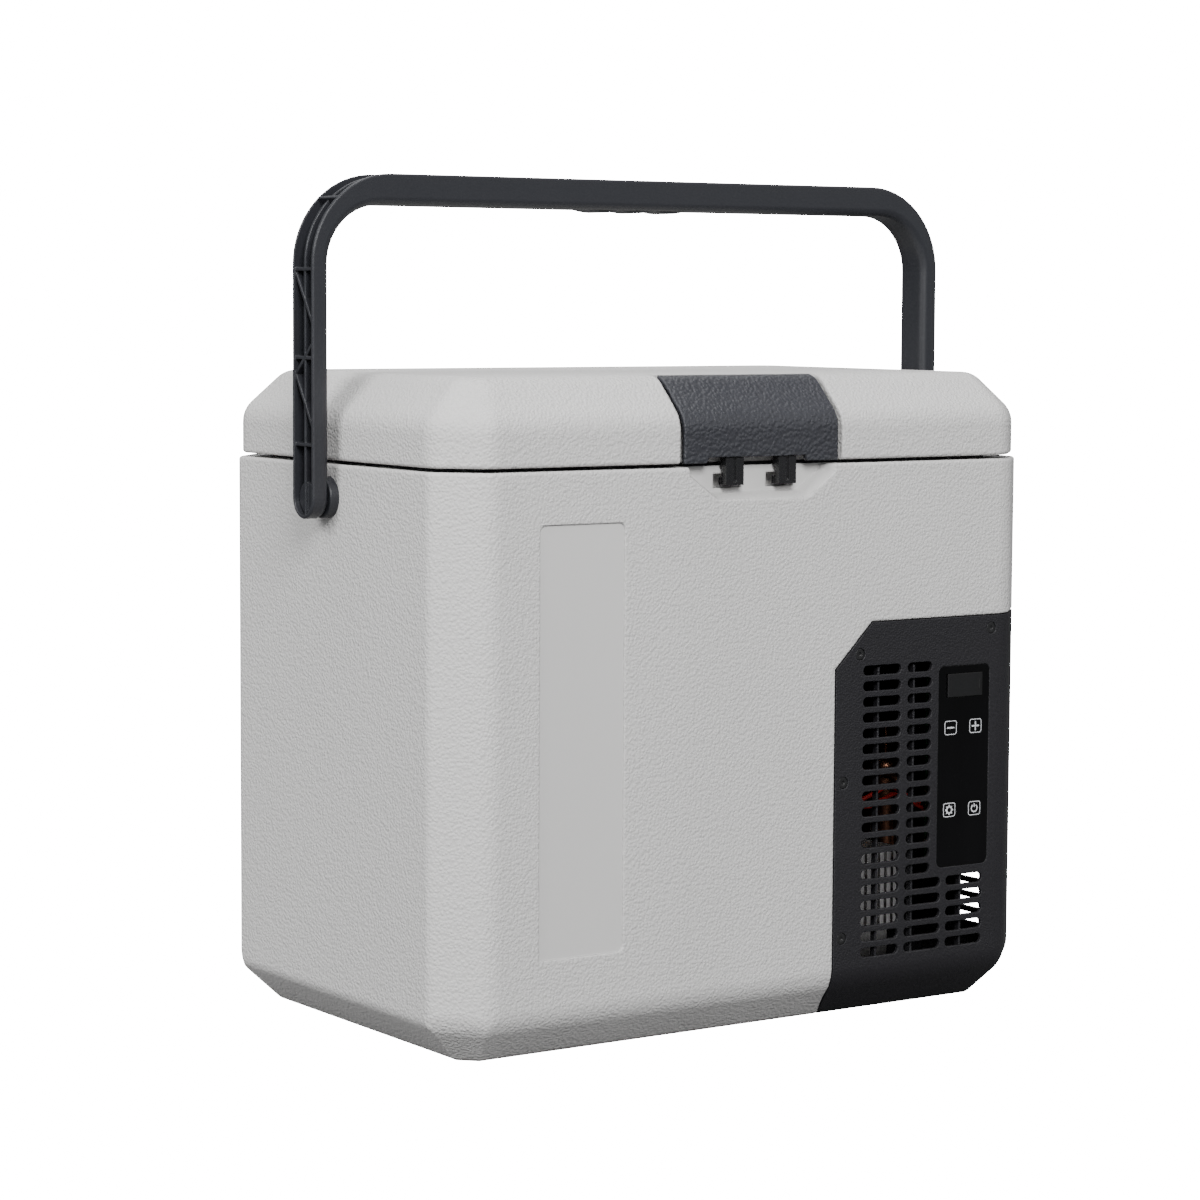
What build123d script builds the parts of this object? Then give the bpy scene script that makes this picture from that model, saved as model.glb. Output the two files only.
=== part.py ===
from build123d import *
import math
import os

# Driving dimensions in millimetres.
# X runs along the front to the right, Y to the back, Z up from the floor.
width = 420.0
depth = 267.0
foot_height = 4.0
rim_height = 334.5
lid_gap = 2.0
lid_inset = 1.2
top_height = 386.0
corner_leg = 24.0
face_radius = 20.0
side_radius = 9.0
lid_radius = 17.0
skin = 2.5
wall = 28.0
liner_skin = 1.5

half_width = width / 2
half_depth = depth / 2
lid_low = rim_height + lid_gap

# Machine bay, seen from the front
bay_left = 54.0
bay_flare = 62.7
bay_top = 240.5
bay_corner = 27.0
cover_gap = 0.4

# Vent slots
slot_rows = 19
slot_pitch = 9.35
slot_top = 211.7
slot_height = 6.0
side_slot_middle = 76.0
low_slot_row = 14
slot_columns = [(74.5, 103.3), (108.2, 127.0)]
low_slot_columns = [(74.5, 103.3), (107.5, 135.5), (139.5, 168.0)]

# Storage: a deep well beside the bay and a shelf above it
well_right = bay_left - 24.0
shelf_low = bay_top + 24.0
store_half_width = half_width - wall
store_half_depth = half_depth - wall
store_low = foot_height + wall

# Handle
pivot_height = 315.5
handle_half_width = 12.0
arm_inner = 216.0
arm_outer = 227.0
bar_low = 481.5
bar_high = 499.5
outer_bend = 52.0
inner_bend = 34.0
pivot_radius = 6.0
running_gap = 0.05

# Latch
latch_half = 55.0
pocket_half = 58.0
pocket_depth = 12.0
recess_floor = -123.5
hook_offset = 18.8
hook_width = 12.4
latch_axis_y = -107.0
latch_axis_z = 379.0

# Lid hinge
hinge_axis_y = 138.5
hinge_axis_z = 335.5
hinge_radius = 4.0
hinge_length = 50.0
hinge_offset = 110.0
front_reach = half_depth + 0.9
frame_shift = (front_reach - hinge_axis_y - hinge_radius) / 2

# Control panel
panel_x = (132.3, 171.7)
panel_z = (89.3, 210.8)
panel_front = -133.2
key_places = {
    "minus": (142.1, 173.5),
    "plus": (161.5, 173.5),
    "settings": (141.9, 123.7),
    "power": (161.5, 123.3),
}
key_size = (10.0, 9.0)
door_x = (139.3, 165.9)
door_z = (192.0, 206.0)
door_axis_x = 139.9

# Machine parts
compressor_x = 138.0
compressor_y = 42.0
compressor_radius = 42.0
fan_x = 92.0
fan_z = 76.0
fan_half = 31.0
condenser_x = (66.0, 118.0)
condenser_y = (-114.0, -62.0)
condenser_z = (52.0, 102.0)
plate_top = 10.2


def block(x, y, z):
    """Box between three pairs of limits."""
    centre = Pos((x[0] + x[1]) / 2, (y[0] + y[1]) / 2, (z[0] + z[1]) / 2)
    return centre * Box(x[1] - x[0], y[1] - y[0], z[1] - z[0])


def rod_x(x, y, z, radius):
    """Cylinder along X between two limits."""
    return Pos((x[0] + x[1]) / 2, y, z) * Rot(0, 90, 0) * Cylinder(radius, x[1] - x[0])


def rod_y(x, y, z, radius):
    """Cylinder along Y between two limits."""
    return Pos(x, (y[0] + y[1]) / 2, z) * Rot(90, 0, 0) * Cylinder(radius, y[1] - y[0])


def rod_z(x, y, z, radius):
    """Cylinder along Z between two limits."""
    return Pos(x, y, (z[0] + z[1]) / 2) * Cylinder(radius, z[1] - z[0])


def join(solids):
    """Fuse a list of overlapping solids into one."""
    whole = solids[0]
    for solid in solids[1:]:
        whole = whole + solid
    return whole


def together(solids):
    """Keep separate solids as one group."""
    return Compound(children=[part for solid in solids for part in solid.solids()])


def tube(points, radius, bend):
    """Round bar along straight runs joined by arcs."""
    path = FilletPolyline(*points, radius=bend)
    start = Plane(origin=path @ 0, z_dir=path % 0)
    return sweep(start * Circle(radius), path=path)


def front_panel(x, z, y, corner):
    """Round-cornered slab facing the front."""
    sketch = RectangleRounded(x[1] - x[0], z[1] - z[0], corner)
    plane = Plane(origin=((x[0] + x[1]) / 2, y[0], (z[0] + z[1]) / 2), x_dir=(1, 0, 0), z_dir=(0, 1, 0))
    return extrude(plane * sketch, y[1] - y[0])


def facing(solid, direction):
    """Edges of the flat faces whose outward normal lies along the direction or against it."""
    edges = []
    for face in solid.faces().filter_by(GeomType.PLANE):
        if abs(abs(face.normal_at().dot(direction)) - 1) < 1e-6:
            edges += face.edges()
    return edges


def cut_corner_edges(solid, x_half, y_half):
    """Sloping and level edges round the small facets where three cuts meet."""
    found = []
    for edge in solid.edges():
        place = edge.center()
        past_x = abs(place.X) > x_half - corner_leg - 0.1
        past_y = abs(place.Y) > y_half - corner_leg - 0.1
        upright = abs(edge.tangent_at(0.5).Z) > 0.99
        if past_x and past_y and not upright:
            found.append(edge)
    return found


def faceted_form(x_half, y_half, low, high, inset, closed, big, small):
    """Box with cut corners and a cut closed end, its cuts blended into the faces.
    The open end stays sharp. inset moves every face except the open end inwards."""
    leg = corner_leg - inset * (2 - math.sqrt(2))
    bottom = low + inset if closed == "low" else low
    top = high - inset if closed == "high" else high
    solid = block((inset - x_half, x_half - inset), (inset - y_half, y_half - inset), (bottom, top))
    solid = chamfer(solid.edges().filter_by(Axis.Z), leg)
    levels = solid.edges().group_by(Axis.Z)
    solid = chamfer(levels[0] if closed == "low" else levels[-1], leg)
    open_level = top if closed == "low" else bottom

    def inner(edges):
        return [edge for edge in edges if abs(edge.center().Z - open_level) > 0.001]

    if inset or big == small:
        return fillet(inner(solid.edges()), small - inset / 2)
    corners = cut_corner_edges(solid, x_half, y_half)
    solid = fillet(inner(facing(solid, Vector(0, 1, 0)) + corners), big)
    others = inner(facing(solid, Vector(1, 0, 0)) + facing(solid, Vector(0, 0, 1)))
    return fillet(others, small)


def cabinet_form(inset, high=rim_height):
    return faceted_form(half_width, half_depth, foot_height, high, inset, "low", face_radius, side_radius)


def lid_form(inset):
    x_half = half_width - lid_inset
    y_half = half_depth - lid_inset
    return faceted_form(x_half, y_half, lid_low, top_height, inset, "high", lid_radius, lid_radius)


def bay(grow):
    """Space for the machine: the lower right of the front view, straight through to the back."""
    far = half_width + 20
    outline = Polyline(
        (bay_left, 34),
        (bay_left, bay_top - bay_corner),
        (bay_left + bay_corner, bay_top),
        (far, bay_top),
        (far, -10),
        (bay_flare + 1.5, -10),
        (bay_flare, foot_height),
    )
    flare = ThreePointArc((bay_flare, foot_height), (bay_left + 2.4, 17), (bay_left, 34))
    face = make_face(outline + flare)
    if grow:
        face = offset(face, grow, kind=Kind.INTERSECTION)
    return extrude(Plane.XZ * face, half_depth + 20, both=True)


def latch_recess():
    """Finger recess below the latch: sloping walls, wide at the rim, narrow at the bottom."""
    mouth = rim_height - 3
    right = [(50, 352), (48, mouth), (31, 319.5)]
    left = [(-x, z) for x, z in reversed(right)]
    outline = Polyline(*right, *left, right[0])
    floor = fillet(make_face(outline).vertices().sort_by(Axis.Y)[:2], 7)
    slope = math.degrees(math.atan2(4.0, abs(recess_floor + half_depth)))
    return extrude(Pos(0, recess_floor, 0) * (Plane.XZ * floor), 12, taper=-slope)


def around(solid, level, x_half, y_half):
    """Edges at one height that lie on the outside of the cut-cornered box."""
    found = []
    for edge in solid.edges():
        place = edge.center()
        x = abs(place.X)
        y = abs(place.Y)
        on_side = x > x_half - 0.01 or y > y_half - 0.01
        on_corner = x + y > x_half + y_half - corner_leg - 1
        if abs(place.Z - level) < 0.001 and (on_side or on_corner):
            found.append(edge)
    return found


def on_front(solid, x, z):
    """Edges in the front face whose middles lie between two pairs of limits."""
    found = []
    for edge in solid.edges():
        place = edge.center()
        if abs(place.Y + half_depth) < 0.01 and x[0] < place.X < x[1] and z[0] < place.Z < z[1]:
            found.append(edge)
    return found


def bay_mouth(solid):
    """Edges round the bay on the outside of the shell: its top, its left side and the cut between."""
    top = [edge for edge in around(solid, bay_top, half_width, half_depth) if edge.center().X > bay_left]
    sides = []
    for edge in solid.edges():
        place = edge.center()
        outside = abs(abs(place.Y) - half_depth) < 0.01
        upright = abs(place.X - bay_left) < 0.01 and place.Z < bay_top
        sloped = bay_left < place.X < bay_left + bay_corner and -bay_corner < place.Z - bay_top < -0.1
        if outside and (upright or sloped):
            sides.append(edge)
    return top + sides


def outer_shell():
    shell = cabinet_form(0) - bay(0)
    shell = shell - (cabinet_form(skin, rim_height + 1) - bay(skin))
    pad = block((-57, 57), (-132, recess_floor + skin), (309, rim_height))
    shell = shell + pad
    shell = shell - latch_recess()
    for side in (-1, 1):
        slot_x = side * hook_offset
        shell = shell - block((slot_x - 10, slot_x + 10), (-130, -110), (321.7, 330))
    label = front_panel((-152.7, -96.0), (62.3, 304.8), (-half_depth - 1, -half_depth + 1), 4)
    shell = shell - label
    for side in (-1, 1):
        shell = shell - rod_x((side * half_width - 5, side * half_width + 5), 0, pivot_height, 3)
    shell = fillet(around(shell, rim_height, half_width, half_depth), 2)
    shell = fillet(on_front(shell, (-153, -95.9), (62, 305)), 0.5)
    shell = fillet(bay_mouth(shell), 1.5)
    return fillet(on_front(shell, (-56, 56), (305, rim_height - 2.1)), 1.5)


def store_space(grow):
    """The storage space as one solid, grown outwards for the liner's skin."""
    top = rim_height + 10
    left = -store_half_width - grow
    well = block(
        (left, well_right + grow),
        (-store_half_depth - grow, store_half_depth + grow),
        (store_low - grow, top),
    )
    shelf = block(
        (left + 30, store_half_width + grow),
        (-store_half_depth - grow, store_half_depth + grow),
        (shelf_low - grow, top),
    )
    space = well + shelf
    corners = space.edges().filter_by(Axis.Z)
    space = fillet(corners, 16 + grow)
    bottom = [edge for edge in space.edges() if edge.center().Z < store_low + 0.1]
    return fillet(bottom, 10 + grow)


def rim_space(inset, low, high):
    """Octagon just inside the shell, between two heights."""
    leg = corner_leg - inset * (2 - math.sqrt(2))
    half_x = half_width - inset
    half_y = half_depth - inset
    slab = block((-half_x, half_x), (-half_y, half_y), (low, high))
    return chamfer(slab.edges().filter_by(Axis.Z), leg)


def inner_liner():
    flange_low = rim_height - 2.5
    flange = rim_space(skin + 0.8, flange_low, rim_height - 0.5)
    flange = flange - block((-57.5, 57.5), (-140, recess_floor + skin + 0.3), (300, 340))
    tub = store_space(liner_skin) - block((-300, 300), (-300, 300), (rim_height - 0.5, 400))
    return (flange + tub) - store_space(0)


def foam_insulation():
    foam_top = rim_height - 2.7
    foam = cabinet_form(skin + 0.1, foam_top) - bay(skin + 0.1)
    foam = foam - store_space(liner_skin + 0.1)
    foam = foam - block((-57.5, 57.5), (-140, -107), (300, 340))
    for side in (-1, 1):
        foam = foam - rod_x(sorted((side * (half_width - 16), side * half_width)), 0, pivot_height, 9.5)
    for level in evaporator_levels():
        foam = foam - evaporator_loop(level, 0.3)
    foam = foam - evaporator_riser(0.3)
    return foam - block((-40, -20), (store_half_depth, store_half_depth + 8), (112, 136))


def evaporator_levels():
    return [70 + 34 * number for number in range(5)]


def evaporator_loop(level, grow):
    """Flat tube pressed against the outside of the well."""
    near = liner_skin + 0.3 - grow
    far = liner_skin + 5.3 + grow
    loops = []
    for reach in (far, near):
        x_size = well_right + store_half_width + 2 * reach
        y_size = 2 * store_half_depth + 2 * reach
        loops.append(RectangleRounded(x_size, y_size, 16 + reach))
    ring = Pos((well_right - store_half_width) / 2, 0, level - grow) * (loops[0] - loops[1])
    return extrude(ring, 7 + 2 * grow)


def evaporator_riser(grow):
    levels = evaporator_levels()
    side = -store_half_depth - liner_skin
    y = (side - 5.3 - grow, side - 0.3 + grow)
    return block((-90 - grow, -82 + grow), y, (levels[0], levels[-1] + 7))


def evaporator_tube():
    return join([evaporator_loop(level, 0) for level in evaporator_levels()] + [evaporator_riser(0)])


def temperature_sensor():
    body = block((-36, -24), (store_half_depth + liner_skin + 0.2, store_half_depth + 6.5), (113, 135))
    return fillet(body.edges().filter_by(Axis.Z), 1.5)


def latch_keeper():
    keeper = block((-36, 36), (recess_floor + skin + 0.1, -109), (313, 331))
    for side in (-1, 1):
        slot_x = side * hook_offset
        keeper = keeper - block((slot_x - 10.5, slot_x + 10.5), (-125, -112), (321.2, 330.4))
    return keeper


def front_slots():
    """Vent slots of the front: two columns, and three in the five lowest rows."""
    slots = []
    for row in range(slot_rows):
        height = slot_top - slot_pitch * row
        columns = slot_columns if row < low_slot_row else low_slot_columns
        for left, right in columns:
            slots.append(Pos((left + right) / 2, height) * SlotOverall(right - left, slot_height))
    return extrude(Pos(0, -125, 0) * (Plane.XZ * Sketch(children=slots)), 20)


def side_slots():
    """Vent slots of the right side, one block near the front and one near the back."""
    slots = []
    for row in range(low_slot_row, slot_rows):
        for middle in (-side_slot_middle, side_slot_middle):
            place = Pos(middle, slot_top - slot_pitch * row)
            slots.append(place * SlotOverall(28, slot_height))
    return extrude(Pos(200, 0, 0) * (Plane.YZ * Sketch(children=slots)), 20)


def machine_cover():
    cover = (cabinet_form(0) - cabinet_form(skin)) & bay(-cover_gap)
    cover = cover - front_slots() - side_slots()
    window_x = (panel_x[0] - 0.15, panel_x[1] + 0.15)
    window_z = (panel_z[0] - 0.15, panel_z[1] + 0.15)
    cover = cover - front_panel(window_x, window_z, (-140, -125), 4.1)
    cover = cover - block((137.8, 162.2), (125, 140), (50.8, 69.2))
    for x, z in cover_screw_places():
        for side in (-1, 1):
            cover = cover - rod_y(x, sorted((side * 140, side * 125)), z, 1.7)
            cover = cover - rod_y(x, sorted((side * 140, side * 131.8)), z, 3.6)
    for rib_x, low, high in ((88.0, 40, 213), (115.0, 40, 213), (153.0, 38, 85)):
        cover = cover + block((rib_x - 0.6, rib_x + 0.6), (-131.2, -127), (low, high))
    return cover


def cover_screw_places():
    return [(72.1, 221.6), (172.8, 232.4), (60.5, 146.3), (60.4, 53.4)]


def cover_screws():
    screws = []
    for x, z in cover_screw_places():
        for side in (-1, 1):
            head = rod_y(x, sorted((side * 133.1, side * 131.85)), z, 3.3)
            shank = rod_y(x, sorted((side * 132, side * 122)), z, 1.55)
            cross = rod_y(x, sorted((side * 133.1, side * 132.4)), z, 1.2)
            screws.append(head + shank - cross)
    return together(screws)


def screw_bosses():
    """Posts inside the bay that take the cover screws."""
    posts = []
    for x, z in cover_screw_places():
        for side in (-1, 1):
            post = rod_y(x, sorted((side * 130.8, side * 118)), z, 3.4)
            bore = rod_y(x, sorted((side * 131, side * 121)), z, 1.6)
            posts.append(post - bore)
    return together(posts)


def base_plate():
    plate = block((64, 182), (-106, 106), (plate_top - 1.2, plate_top))
    plate = chamfer(plate.edges().filter_by(Axis.Z), 8)
    for x, y in compressor_feet():
        plate = plate - rod_z(x, y, (0, 20), 2.2)
    return plate


def compressor_feet():
    return [(compressor_x + 36 * sx, compressor_y + 36 * sy) for sx in (-1, 1) for sy in (-1, 1)]


def compressor():
    low = plate_top + 10
    shell = rod_z(compressor_x, compressor_y, (low, low + 96), compressor_radius - 8)
    shell = fillet(shell.edges().filter_by(GeomType.CIRCLE), 14)
    band = rod_z(compressor_x, compressor_y, (low + 44, low + 48), compressor_radius - 6)
    foot_x = (compressor_x - 44, compressor_x + 44)
    foot_y = (compressor_y - 44, compressor_y + 44)
    foot = block(foot_x, foot_y, (low - 2, low + 0.6))
    foot = chamfer(foot.edges().filter_by(Axis.Z), 10)
    for x, y in compressor_feet():
        foot = foot - rod_z(x, y, (0, 40), 4.1)
    terminal = block(
        (compressor_x - 16, compressor_x + 16),
        (compressor_y - compressor_radius, compressor_y - compressor_radius + 16),
        (low + 50, low + 80),
    )
    return shell + band + foot + terminal


def compressor_grommets():
    rings = []
    for x, y in compressor_feet():
        ring = rod_z(x, y, (plate_top, plate_top + 8), 8) + rod_z(x, y, (plate_top, plate_top + 12.6), 4)
        rings.append(ring - rod_z(x, y, (0, 40), 2.3))
    return together(rings)


def compressor_bolts():
    bolts = []
    for x, y in compressor_feet():
        head = extrude(Pos(x, y, plate_top + 12.7) * RegularPolygon(4.2, 6), 3.2)
        bolts.append(head + rod_z(x, y, (plate_top - 1.2, plate_top + 13), 2.1))
    return together(bolts)


def condenser_rows():
    rise = (condenser_z[1] - condenser_z[0]) / 5
    return [condenser_z[0] + rise * (number + 0.5) for number in range(5)]


def condenser_tube():
    middle = (condenser_y[0] + condenser_y[1]) / 2
    points = []
    for number, height in enumerate(condenser_rows()):
        ends = [condenser_x[0] - 2.5, condenser_x[1] + 9]
        if number % 2:
            ends.reverse()
        points += [(ends[0], middle, height), (ends[1], middle, height)]
    return tube(points, 2.5, 4.4)


def condenser_fins():
    """Stack of plates, each with a flange folded along its front edge."""
    pitch = 5.0
    fins = []
    middle = (condenser_y[0] + condenser_y[1]) / 2
    for number in range(10):
        left = condenser_x[0] + 4 + pitch * number
        fin = block((left, left + 0.5), condenser_y, condenser_z)
        fin = fin + block((left, left + 2.9), (condenser_y[0], condenser_y[0] + 0.5), condenser_z)
        for height in condenser_rows():
            fin = fin - rod_x((left - 1, left + 2), middle, height, 2.55)
        fins.append(fin)
    return together(fins)


def condenser_bracket():
    """Two rails that carry the fin stack on the base plate."""
    rails = []
    for y in (condenser_y[0] + 8, condenser_y[1] - 16):
        x = (condenser_x[0] + 2, condenser_x[1] - 1)
        rails.append(block(x, (y, y + 8), (plate_top + 0.1, condenser_z[0] - 0.1)))
    return together(rails)


def fan_housing():
    y = (-58.0, -38.0)
    frame = block((fan_x - fan_half, fan_x + fan_half), y, (fan_z - fan_half, fan_z + fan_half))
    frame = fillet(frame.edges().filter_by(Axis.Y), 4)
    frame = frame - rod_y(fan_x, (-70, -30), fan_z, 29)
    for sx in (-1, 1):
        for sz in (-1, 1):
            frame = frame - rod_y(fan_x + sx * 26, (-70, -30), fan_z + sz * 26, 1.8)
    hub = rod_y(fan_x, (-41, -38), fan_z, 11)
    spokes = []
    for number in range(4):
        arm = Pos(fan_x, -39, fan_z) * Rot(0, 45 + 90 * number, 0) * Pos(20, 0, 0) * Box(22, 2, 3)
        spokes.append(arm)
    stub = rod_y(fan_x, (-55, -40), fan_z, 1.5)
    foot = block((fan_x - 12, fan_x + 12), (-56, -40), (plate_top + 0.1, fan_z - fan_half + 1))
    return join([frame, hub, stub, foot] + spokes)


def fan_rotor():
    hub = rod_y(fan_x, (-56.5, -41.6), fan_z, 11)
    hub = fillet(hub.edges().group_by(Axis.Y)[0], 1.5)
    blades = []
    for number in range(7):
        blade = Pos(18.5, 0, 0) * Rot(38, 0, 0) * Box(19, 1.2, 15)
        blades.append(Pos(fan_x, -49, fan_z) * Rot(0, number * 360 / 7, 0) * blade)
    rotor = join([hub] + blades)
    rotor = rotor & rod_y(fan_x, (-57, -41.6), fan_z, 28)
    return rotor - rod_y(fan_x, (-55.3, -30), fan_z, 1.5 + running_gap)


def discharge_line():
    top = plate_top + 10 + 96
    return tube(
        [
            (compressor_x - 12, compressor_y - 8, top + 0.1),
            (compressor_x - 12, compressor_y - 8, top + 22),
            (compressor_x - 12, -24, top + 22),
            (140, -24, top + 22),
            (140, -88, top + 22),
            (140, -88, 67),
        ],
        2.2,
        9,
    )


def suction_line():
    top = plate_top + 10 + 96
    return tube(
        [
            (compressor_x + 12, compressor_y + 12, top + 0.1),
            (compressor_x + 12, compressor_y + 12, top + 24),
            (compressor_x + 12, 98, top + 24),
            (60, 98, top + 24),
        ],
        3.0,
        10,
    )


def filter_drier():
    body = rod_z(184, -20, (60, 140), 9)
    body = fillet(body.edges().filter_by(GeomType.CIRCLE), 6)
    lower = rod_z(184, -20, (46, 61), 2.2)
    upper = rod_z(184, -20, (139, 160), 1.6)
    return join([body, lower, upper])


def driver_board():
    board = block((58.6, 60.2), (14, 110), (150, 206))
    for y in (20, 104):
        for z in (156, 200):
            board = board - rod_x((50, 70), y, z, 1.6)
    parts = [board]
    for number, y in enumerate((24, 40, 92)):
        parts.append(rod_x((60, 76 - 3 * number), y, 172, 6))
    parts.append(block((60, 68), (52, 80), (156, 168)))
    return join(parts)


def driver_heat_sink():
    base = block((60.4, 63.4), (52, 84), (172, 204))
    fins = [block((63, 76), (52 + 4.8 * number, 53.6 + 4.8 * number), (172, 204)) for number in range(7)]
    return join([base] + fins)


def panel_hole():
    """Opening in the panel for the socket and the swing of its door."""
    x = (door_x[0] - 1.3, door_x[1] + 0.3)
    z = (door_z[0] - 0.3, door_z[1] + 0.3)
    return front_panel(x, z, (-140, -130), 1.5)


def key_block(name, spare, y):
    x, z = key_places[name]
    half_x = key_size[0] / 2 + spare
    half_z = key_size[1] / 2 + spare
    return front_panel((x - half_x, x + half_x), (z - half_z, z + half_z), y, 1.8 + spare)


def control_panel():
    panel = front_panel(panel_x, panel_z, (panel_front, -131.0), 4)
    for name in key_places:
        panel = panel - key_block(name, 0, (-140, -125))
    return panel - panel_hole()


def panel_carrier():
    left, right = panel_x
    low, high = panel_z
    outer = front_panel((left - 2, right + 2), (low - 2, high + 2), (-130.9, -127.5), 5)
    hollow = front_panel((left + 1, right - 1), (low + 1, high - 1), (-132, -129.2), 3)
    carrier = outer - hollow
    carrier = carrier - block((142.2, 163.0), (-140, -120), (193.2, 204.8))
    carrier = carrier - block((136, 168), (-140, -120), (135, 166))
    for x, z in key_places.values():
        carrier = carrier - rod_y(x, (-140, -120), z, 2.4)
    return carrier


def key(name):
    x, z = key_places[name]
    cap = key_block(name, -0.2, (panel_front, -130.4))
    return cap + rod_y(x, (-130.6, -122.4), z, 1.6)


def display():
    return block((137, 167), (-130.7, -121.6), (136, 165))


def control_board():
    board = block((134, 170), (-121.4, -119.8), (93, 207))
    parts = [board]
    for x, z in key_places.values():
        parts.append(block((x - 3, x + 3), (-121.6, -121.2), (z - 3, z + 3)))
    parts.append(block((140, 152), (-120, -112), (100, 112)))
    return join(parts)


def usb_socket():
    socket = block((142.6, 162.6), (-130.9, -121.6), (193.6, 204.4))
    return socket - block((143.6, 161.6), (-140, -123.5), (194.6, 203.4))


def usb_door():
    """Rubber flap whose left edge is rolled round its hinge line."""
    door = front_panel((door_axis_x, door_x[1]), door_z, (-133.9, -132.7), 0.55)
    barrel = rod_z(door_axis_x, -133.3, door_z, 0.6)
    grip = rod_z(door_x[1] - 2.2, -133.9, (door_z[0] + 4, door_z[1] - 4), 0.5)
    return door + barrel + grip


def power_inlet():
    body = block((138, 162), (116, 133.2), (51, 69))
    flange = block((135, 165), (129, 130.8), (48, 72))
    inlet = body + flange - block((140.5, 159.5), (119, 140), (53.5, 66.5))
    for x in (146, 154):
        inlet = inlet + rod_y(x, (118, 121.5), 60, 1.5)
    return inlet


def wire_harness():
    wires = []
    for number in range(2):
        shift = 5 * number
        wires.append(
            tube(
                [
                    (145 - shift, -108, 120 + shift),
                    (124 - shift, -104, 132 + shift),
                    (96 - shift, -108, 124 + shift),
                    (82 - shift, -84, 150 + shift),
                    (74 - shift, -30, 170 + shift),
                ],
                1.3,
                8,
            )
        )
    return together(wires)


def wire_connector():
    plug = block((66, 78), (-28, -16), (166, 180))
    clip = block((69, 75), (-16.5, -14.5), (169, 177))
    return plug + clip


def feet():
    pads = []
    for sx in (-1, 1):
        for sy in (-1, 1):
            pad = rod_z(sx * 150, sy * 80, (0, foot_height), 12)
            pads.append(fillet(pad.edges().group_by(Axis.Z)[0], 1.5))
    return together(pads)


def handle_pivots():
    pivots = []
    for side in (-1, 1):
        disc = rod_x(sorted((side * half_width, side * (arm_inner - 0.3))), 0, pivot_height, 12)
        disc = fillet(disc.edges().filter_by(GeomType.CIRCLE).sort_by(Axis.X)[0 if side < 0 else -1], 0.8)
        pin = rod_x(sorted((side * (half_width + 2), side * 221)), 0, pivot_height, pivot_radius)
        tail = rod_x(sorted((side * (half_width - 2.5), side * (half_width + 1))), 0, pivot_height, 2.9)
        bore = rod_x(sorted((side * (half_width - 4), side * 218)), 0, pivot_height, 2.0)
        pivots.append(disc + pin + tail - bore)
    return together(pivots)


def pivot_screws():
    screws = []
    for side in (-1, 1):
        head = rod_x(sorted((side * 207.45, side * 203)), 0, pivot_height, 5)
        shank = rod_x(sorted((side * 207.4, side * 217.5)), 0, pivot_height, 1.95)
        screws.append(head + shank)
    return together(screws)


def handle_outline(inset, corner, top, bottom=250):
    """Upright arch seen from the front, reaching below the arms."""
    half = arm_outer - inset
    sheet = Pos(0, (top + bottom) / 2) * Rectangle(2 * half, top - bottom)
    return fillet(sheet.vertices().sort_by(Axis.Y)[2:], corner)


def handle_ribs():
    """Stiffening ribs in the open channel of both arms."""
    spine = handle_outline(1.5, 50, bar_high - 1.5) - handle_outline(8.5, 44, bar_high - 8.5)
    spine = extrude(Plane.XZ * spine, 0.9, both=True)
    ribs = [spine - block((-170, 170), (-20, 20), (400, 600))]
    for side in (-1, 1):
        x = sorted((side * (arm_outer - 9), side * (arm_outer - 1.2)))
        for height in (345.7, 395, 445):
            ribs.append(block(x, (-10.5, 10.5), (height - 0.9, height + 0.9)))
        for start, end in (((10, 443), (-10, 413)), ((-10, 404), (10, 386)), ((10, 385), (-10, 354))):
            run = math.hypot(start[0] - end[0], start[1] - end[1])
            lean = math.degrees(math.atan2(start[0] - end[0], start[1] - end[1]))
            place = Pos(side * (arm_outer - 5), (start[0] + end[0]) / 2, (start[1] + end[1]) / 2)
            ribs.append(place * Rot(-lean, 0, 0) * Box(7.6, 1.8, run))
        bend = Pos(side * 186, 0, 461) * Rot(0, side * 45, 0) * Pos(0, 0, 31) * Box(1.8, 21, 8)
        ribs.append(bend)
    return ribs


def on_inner_rim(edge):
    """Long edges of the arch's inside: both arms, both bends and the underside of the bar."""
    middle = edge.center()
    if abs(abs(middle.Y) - handle_half_width) > 0.01 or middle.Z < pivot_height + 1:
        return False
    if edge.geom_type == GeomType.CIRCLE:
        return abs(edge.radius - inner_bend) < 0.01
    return middle.Z < bar_low + 0.01 and abs(middle.X) < arm_inner + 0.01


def on_outer_rim(edge):
    """Long edges of the arch's outside."""
    middle = edge.position_at(0.5)
    if abs(abs(middle.Y) - handle_half_width) > 0.01:
        return False
    if edge.geom_type == GeomType.CIRCLE and abs(edge.radius - outer_bend) < 0.01:
        return True
    return abs(middle.X) > arm_outer - 0.1 or middle.Z > bar_high - 0.1


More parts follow.
